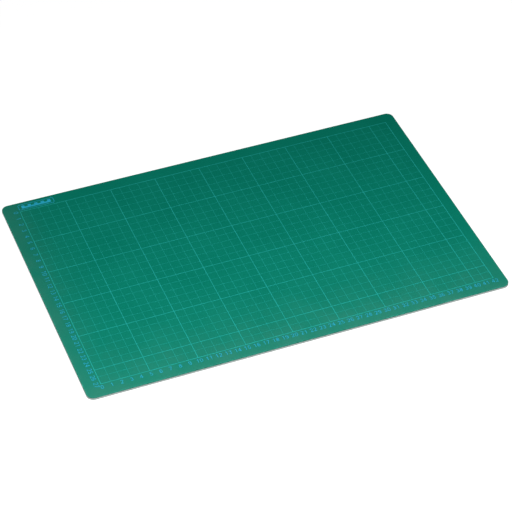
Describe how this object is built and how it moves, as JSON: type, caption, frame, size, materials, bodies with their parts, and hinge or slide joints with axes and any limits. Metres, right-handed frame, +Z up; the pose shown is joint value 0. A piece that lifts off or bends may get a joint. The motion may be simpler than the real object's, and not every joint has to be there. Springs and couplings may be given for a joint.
{
  "type": "self healing cutting mat",
  "caption": "Flat rectangular laminated cutting mat with rounded corners, a green cutting face printed with a centimetre grid and edge scales, and a pale base.",
  "frame": {"origin": "centre of the underside, on the surface that the mat lies on", "axes": "+X along the long side to the right, +Y to the rear edge with the label panel, +Z up"},
  "size_m": [0.45, 0.3, 0.003],
  "materials": {
    "cutting_pvc": "fine matt grain, soft PVC",
    "tie_film": "satin cut edge",
    "core_pvc": "satin cut edge, hard PVC",
    "base_pvc": "matt, soft PVC",
    "print_ink": "satin screen-printed ink"
  },
  "bodies": {
    "root": {"cutting_ply": "cutting_pvc", "upper_tie_film": "tie_film", "core_ply": "core_pvc", "lower_tie_film": "tie_film", "base_ply": "base_pvc", "fine_grid_lines": "print_ink", "bold_grid_lines": "print_ink", "border_line": "print_ink", "front_scale_numbers": "print_ink", "side_scale_numbers": "print_ink", "label_panel": "print_ink"}
  },
  "joints": []
}
